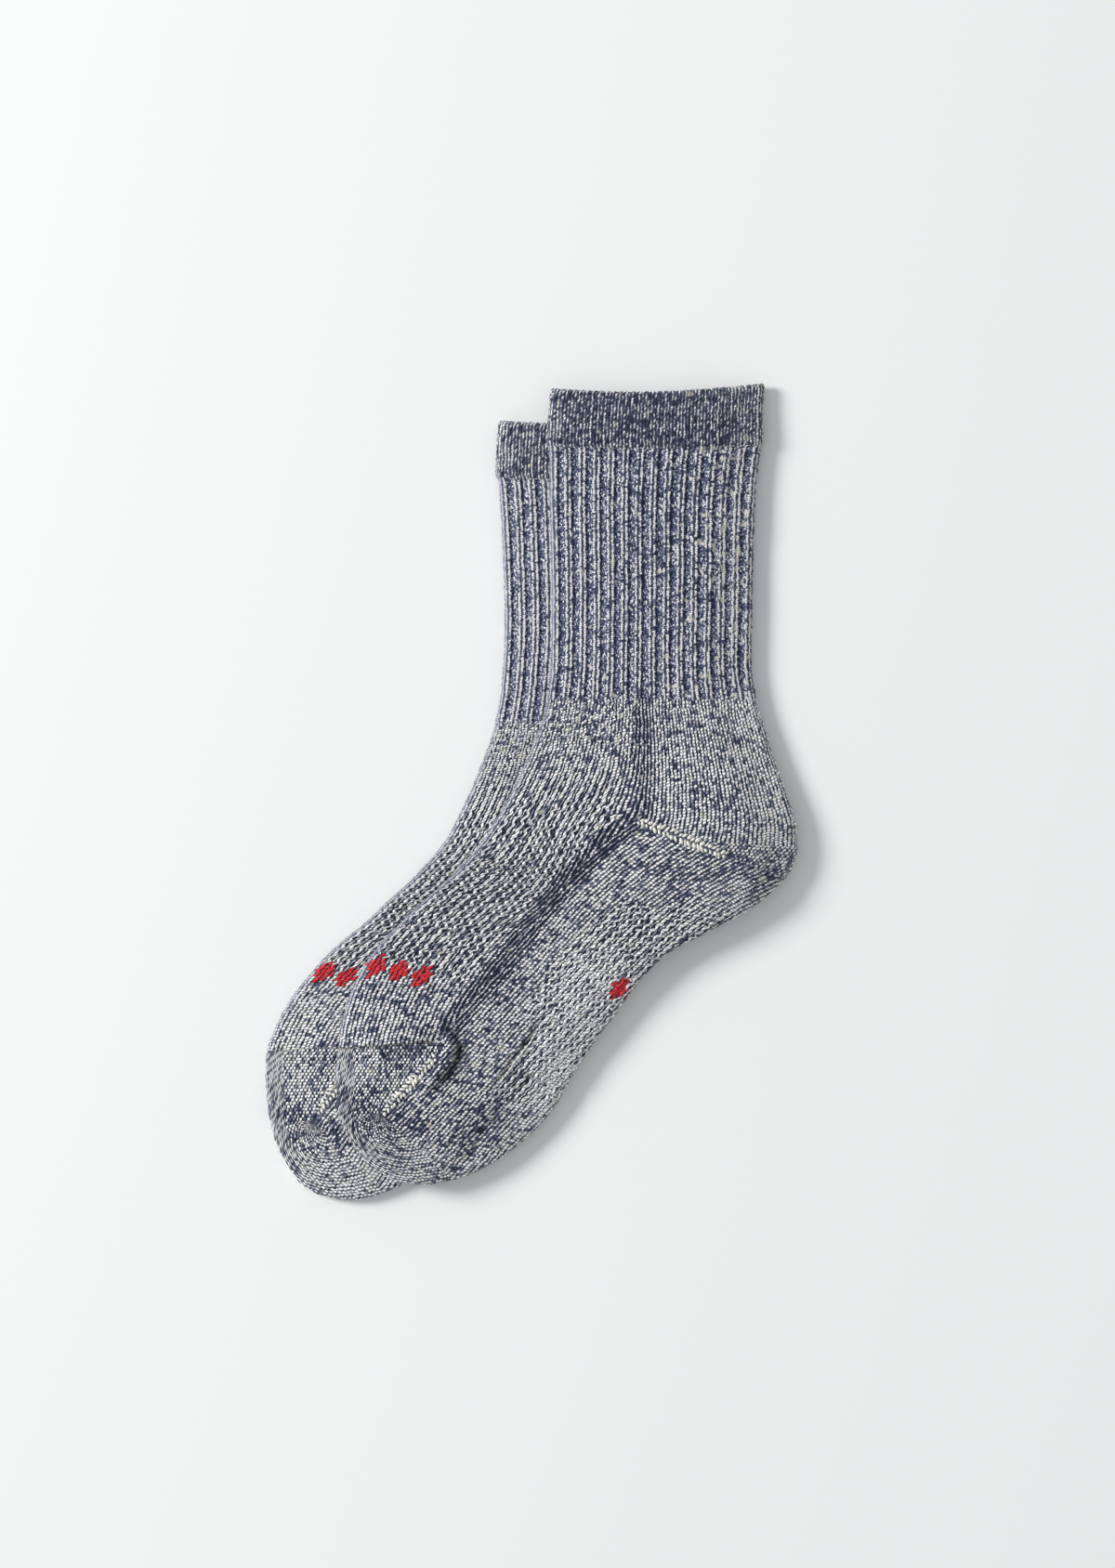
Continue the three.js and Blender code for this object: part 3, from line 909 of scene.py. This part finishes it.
def attribute(tree, name):
    node = tree.nodes.new("ShaderNodeAttribute")
    node.attribute_name = name
    return Field(tree, node.outputs["Fac"])


def new_yarn(name, roughness):
    """A woolly material, with its node tree and its shader."""
    material = bpy.data.materials.new(name)
    material.use_nodes = True
    shader = material.node_tree.nodes["Principled BSDF"]
    shader.inputs["Roughness"].default_value = roughness
    shader.inputs["Specular IOR Level"].default_value = 0.2
    shader.inputs["Sheen Weight"].default_value = 0.12
    shader.inputs["Sheen Roughness"].default_value = 0.5
    return material, material.node_tree, shader


def add_ramp(tree, factor, stops):
    """A colour ramp through stops, each one a place and a colour."""
    node = tree.nodes.new("ShaderNodeValToRGB")
    ramp = node.color_ramp
    for element, (place, colour) in zip(ramp.elements, (stops[0], stops[-1])):
        element.position = place
        element.color = colour
    for place, colour in stops[1:-1]:
        ramp.elements.new(place).color = colour
    tree.links.new(factor, node.inputs["Fac"])
    return node.outputs["Color"]


def mix_in(tree, colour, factor, other):
    """A colour with another mixed in."""
    node = tree.nodes.new("ShaderNodeMix")
    node.data_type = "RGBA"
    join(tree, factor, node.inputs["Factor"])
    tree.links.new(colour, node.inputs["A"])
    node.inputs["B"].default_value = other
    return node.outputs["Result"]


def add_bump(tree, shader, height, distance):
    node = tree.nodes.new("ShaderNodeBump")
    node.inputs["Strength"].default_value = 1.0
    node.inputs["Distance"].default_value = distance
    tree.links.new(height, node.inputs["Height"])
    tree.links.new(node.outputs[0], shader.inputs["Normal"])


def marl(name, seed, motifs):
    """Looped knit in a yarn of navy and cream plies, with red diamonds knitted in."""
    material, tree, shader = new_yarn(name, 0.92)
    knit_map = tree.nodes.new("ShaderNodeUVMap")
    knit_map.uv_map = "knit"
    parts = tree.nodes.new("ShaderNodeSeparateXYZ")
    tree.links.new(knit_map.outputs[0], parts.inputs[0])
    wale = Field(tree, parts.outputs[0])
    course = Field(tree, parts.outputs[1])
    zone = {key: attribute(tree, key) for key in ZONES}
    on_cuff = zone["cuff"].above(0.5)
    seeds = zone["seeds"].above(0.5)
    mesh = zone["mesh"]

    def clouds(across, along, step, detail):
        """Cloudy noise about 0, at a scale in wales and in courses."""
        return cloud(tree, wale * across, course * along, seed + step, detail) - 0.5

    # the yarn wanders a little
    drift = clouds(0.4, 0.2, 0.0, 1.0)
    tremble = clouds(1.1, 0.5, 3.0, 1.0)
    ragged = clouds(0.5, 0.3, 13.0, 1.0)
    hair = clouds(2.4, 1.2, 29.0, 3.0)
    line = wale + drift * (0.4 + zone["loose"] * 0.5) + tremble * (0.35 + zone["loose"] * 0.8)
    on_rib = (zone["rib"] + ragged * 0.9).above(0.5)
    on_mesh = (mesh + ragged * 0.6).above(0.5)

    # ropes of stitches, one beside the other, every other one wavy on the foot's mesh
    brick = (course / SEED_COURSES).floor() * 0.5
    rope_line = line / ROPE_WALES + seeds * brick.fraction()
    calm = cloud(tree, wale * 0.25, course * 0.1, seed + 47.0, 0.0).ease(0.3, 0.6) * 0.8 + 0.3
    swing = ((course + drift * 3.0) * (2 * math.pi / WAVE_COURSES)).sine() * WAVE_SWING * calm
    swing = swing * course.ease(*WAVE_START)
    wavy = (((rope_line * 0.5).fraction() - 0.5).absolute()).ease(0.14, 0.3)
    rope_line = rope_line - swing * wavy * mesh
    number = (rope_line + 0.5).floor()
    off = rope_line - number
    even = 1.0 - (number * 0.5).fraction() * 2.0

    # two ropes on each broad rib of the leg
    rib_line = line * (LEG_RIBS / WALES)
    rib_number = rib_line.floor()
    rib = rib_line.fraction() - 0.5
    side = rib.above(0.0)
    rib_off = (rib - (side * 2.0 - 1.0) * RIB_ROPES) * (WALES / LEG_RIBS / ROPE_WALES)
    number = number + (rib_number * 2.0 + side + RIB_ROPE_FIRST - number) * on_rib
    off = off + (rib_off - off) * on_rib

    # stitches along each rope
    high = STITCH_COURSES - on_cuff * 0.15 - on_rib * 0.55 + on_mesh * even * 0.75
    high = high - seeds * (STITCH_COURSES - SEED_COURSES)
    phase = speckle(tree, number, 0.0, seed + 2.0) * (1.0 - seeds)
    rung = (course / high + phase).floor()
    off = off + (speckle(tree, number, rung, seed + 51.0) - 0.5) * (0.22 + seeds * 0.1)
    off = off + hair * (0.5 + on_rib * 0.4 - seeds * 0.2)
    climb = course / high + phase + off * (0.55 + on_cuff * 0.5 + on_mesh * even * 0.7 - on_rib * 0.3)
    stitch = climb.floor()
    bead = (climb.fraction() * math.pi).sine().power(0.5)
    wide = 0.35 - zone["band"] * 0.1 + on_rib * 0.02 + mesh * (even * 0.26 - 0.16) - on_cuff * 0.04
    wide = wide + (speckle(tree, number, stitch, seed + 31.0) - 0.5) * 0.16 + (zone["cream"] - 1.0) * 0.2
    body = 1.0 - off.absolute().ease(wide - 0.15, wide + 0.15)

    # the plies' colours: every stitch has its own, near ones are alike
    run = speckle(tree, number, (climb / 3.0 + phase * 7.0).floor(), seed)
    single = speckle(tree, number, stitch, seed + 5.0)
    patch = clouds(0.3, 0.13, 17.0, 2.0)
    wide_patch = clouds(0.09, 0.05, 23.0, 1.0)
    tone = run * (0.3 + on_rib * 0.4) + single * (1.0 - on_rib * 0.1) - 0.65 - on_rib * 0.15
    tone = tone + patch * 0.3 + wide_patch * 0.3 + ragged * (1.5 + zone["loose"] * 0.5)
    spread = (1.0 - zone["band"] * 0.4 + seeds * 0.08 - on_cuff * 0.02) * ROPE_SPREAD
    # the front fold's painted highlight also evens out the stitches' colours
    spread = spread * (1.0 - zone["edge"] * 0.5) * (1.0 - zone["plain"] * 0.4)
    cream = tone * spread + zone["cream"] + hair * (1.2 + on_rib * 0.8 + on_cuff * 0.5)
    cream = (cream + (even - 0.5) * (mesh * 0.4 + on_cuff * 0.3)).least(1.0).most(0.0)

    # what lies behind and between them: gutters between the ribs, a core along each, and a painted shadow
    # beside each rib, on its side away from the lamp
    from_middle = rib.absolute()
    gutter = on_rib * from_middle.ease(0.24, 0.33)
    core = on_rib * (1.0 - from_middle.ease(0.06, 0.12))
    # painted shadow just past each rib's right rope, on the side away from the lamp
    rib_shadow = on_rib * rib.ease(0.24, 0.3) * (1.0 - rib.ease(0.36, 0.44))
    fibre = (line * 3.1).floor()
    dash = (course * 1.1 + speckle(tree, fibre, 0.0, 3.0)).floor()
    speck = speckle(tree, fibre, dash, seed + 37.0).power(3.0)
    behind = (zone["cream"] - 0.96) * 0.4 + patch * 0.3 + ragged * 0.5 + hair * (0.9 + gutter * 1.3)
    behind = behind + speck * (0.2 + gutter * 0.85) + gutter * 0.05 + core * 0.14 - rib_shadow * 0.32
    behind = (behind + on_cuff * 0.36 - mesh * 0.24 + zone["plain"] * 0.22).most(0.0)

    # thick undyed places in the yarn
    thick = cloud(tree, wale * 0.45, course * 0.22, seed + 41.0, 0.0) + wale * (0.05 / WALES)
    common = zone["loose"] * 0.09
    slub = thick.ease(0.76 - common, 0.82 - common)
    cream = cream.most(slub * (1.0 - zone["band"]) * 0.95)
    cream = behind + (cream - behind) * body
    # painted highlight on the front fold: paler and flatter
    cream = cream + (cream * 0.4 + 0.4 - cream) * zone["edge"]
    # painted shade under and between the gore's raised pale stitches
    cream = cream * (1.0 - zone["gore"] * 0.5)

    # the red diamonds, of whole stitches
    red = 0.0
    stitch_wale = number * ROPE_WALES
    stitch_course = (stitch + 0.5 - phase) * high
    for middle_wale, middle_course in motifs:
        reach = ((stitch_wale - middle_wale).absolute() * (1.0 / MOTIF_WALES)
                 + (stitch_course - middle_course).absolute() * (1.0 / MOTIF_COURSES))
        red = (1.0 - reach.above(1.0)) + red
    red = red.least(1.0) * body.above(0.25)

    # painted shade between the stitches and in the creases, less of it in the rib's gutters; the seam is
    # darker too
    notch = 0.7 - on_rib * 0.2 + seeds * 0.2
    depth = body * (bead * notch + (1.0 - notch))
    shade = depth.most(gutter * 0.6).most(core * 0.3) * 0.7 + 0.37 + mesh * 0.02
    # brighter on the front fold: painted highlight
    shade = shade + (shade * 0.4 + 0.52 - shade) * zone["edge"]
    shade = shade.most(red)
    linked = speckle(tree, number, 1.0, seed + 61.0) * 0.5 + 0.3
    shade = shade * (1.0 - (1.0 - zone["seam"].ease(0.2, 1.1)) * linked) * (1.0 - zone["crease"] * 0.7)

    colour = add_ramp(tree, cream.socket, PLIES)
    colour = mix_in(tree, colour, slub * 0.7, WARM)
    colour = mix_in(tree, colour, red * (1.0 - hair.most(0.0)), RED)
    dim = tree.nodes.new("ShaderNodeVectorMath")
    dim.operation = "SCALE"
    tree.links.new(colour, dim.inputs[0])
    join(tree, shade, dim.inputs["Scale"])
    tree.links.new(dim.outputs[0], shader.inputs["Base Color"])
    add_bump(tree, shader, depth.socket, MARL_BUMP)
    return material


def pale_yarn(name):
    """Undyed yarn, with painted shade between its strands."""
    material, tree, shader = new_yarn(name, 0.9)
    place = tree.nodes.new("ShaderNodeTexCoord")
    strands = tree.nodes.new("ShaderNodeTexNoise")
    strands.inputs["Scale"].default_value = 1400.0
    strands.inputs["Detail"].default_value = 2.0
    tree.links.new(place.outputs["Object"], strands.inputs["Vector"])
    # painted shade: the noise that raises the bumps also darkens the colour where they sink
    colour = add_ramp(tree, strands.outputs["Fac"], UNDYED_AND_SHADE)
    tree.links.new(colour, shader.inputs["Base Color"])
    add_bump(tree, shader, strands.outputs["Fac"], PALE_BUMP)
    return material


def add_window():
    """A soft lamp at the upper left, turned to the middle."""
    lamp = bpy.data.lights.new("window", "AREA")
    lamp.shape = "DISK"
    lamp.size = WINDOW_SIZE
    lamp.energy = WINDOW_POWER
    lamp.color = (1.0, 0.99, 0.975)
    window = bpy.data.objects.new("window", lamp)
    window.location = WINDOW_PLACE
    window.rotation_euler = (-Vector(WINDOW_PLACE)).to_track_quat("-Z", "Y").to_euler()
    window.visible_camera = False
    bpy.context.collection.objects.link(window)


def add_floor():
    mesh = bpy.data.meshes.new("floor")
    r = FLOOR_REACH
    mesh.from_pydata([(-r, -r, 0), (r, -r, 0), (r, r, 0), (-r, r, 0)], [], [(0, 1, 2, 3)])
    floor = bpy.data.objects.new("floor", mesh)
    bpy.context.collection.objects.link(floor)
    paper = bpy.data.materials.new("paper")
    paper.use_nodes = True
    shader = paper.node_tree.nodes["Principled BSDF"]
    shader.inputs["Base Color"].default_value = (0.86, 0.87, 0.87, 1)
    shader.inputs["Roughness"].default_value = 0.9
    shader.inputs["Specular IOR Level"].default_value = 0.1
    mesh.materials.append(paper)


def add_camera():
    """A camera straight above the middle of the picture."""
    data = bpy.data.cameras.new("camera")
    data.sensor_fit = "VERTICAL"
    data.sensor_height = SENSOR_HEIGHT
    data.lens = SENSOR_HEIGHT * CAMERA_HEIGHT / VIEW_HEIGHT
    camera = bpy.data.objects.new("camera", data)
    x, y = VIEW_MIDDLE
    camera.location = (x - CENTRE[0] * MM, y - CENTRE[1] * MM, CAMERA_HEIGHT)
    bpy.context.collection.objects.link(camera)
    bpy.context.scene.camera = camera


def stage():
    """The pale surface, the light from the upper left and the camera above."""
    add_floor()
    world = bpy.data.worlds.new("studio")
    world.use_nodes = True
    sky = world.node_tree.nodes["Background"]
    sky.inputs["Color"].default_value = (0.955, 0.98, 1.0, 1)
    sky.inputs["Strength"].default_value = SKY_STRENGTH
    bpy.context.scene.world = world
    add_window()
    add_camera()
    bpy.context.scene.view_settings.view_transform = "Standard"
    bpy.context.scene.view_settings.look = "None"


def flat_on_floor(plan):
    return np.zeros(plan.shape[:-1])


stage()
# node, material slot, 1 for the lower sock, what it lies on, seed of its yarn
SOCKS = (
    ("lower_sock", "lower_knit", 1, flat_on_floor, 40.0),
    ("upper_sock", "upper_knit", 0, cloth_over(), 7.0),
)
for node, slot, lower, support, seed in SOCKS:
    sock = Sock(lower, support)
    piece = sock.build(node + "_knit", marl(slot, seed, sock.motifs()))
    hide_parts(node)
    gores = gore_stitches(sock, node + "_gores", int(seed))
    for part in (piece, gores):
        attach(part, "root")
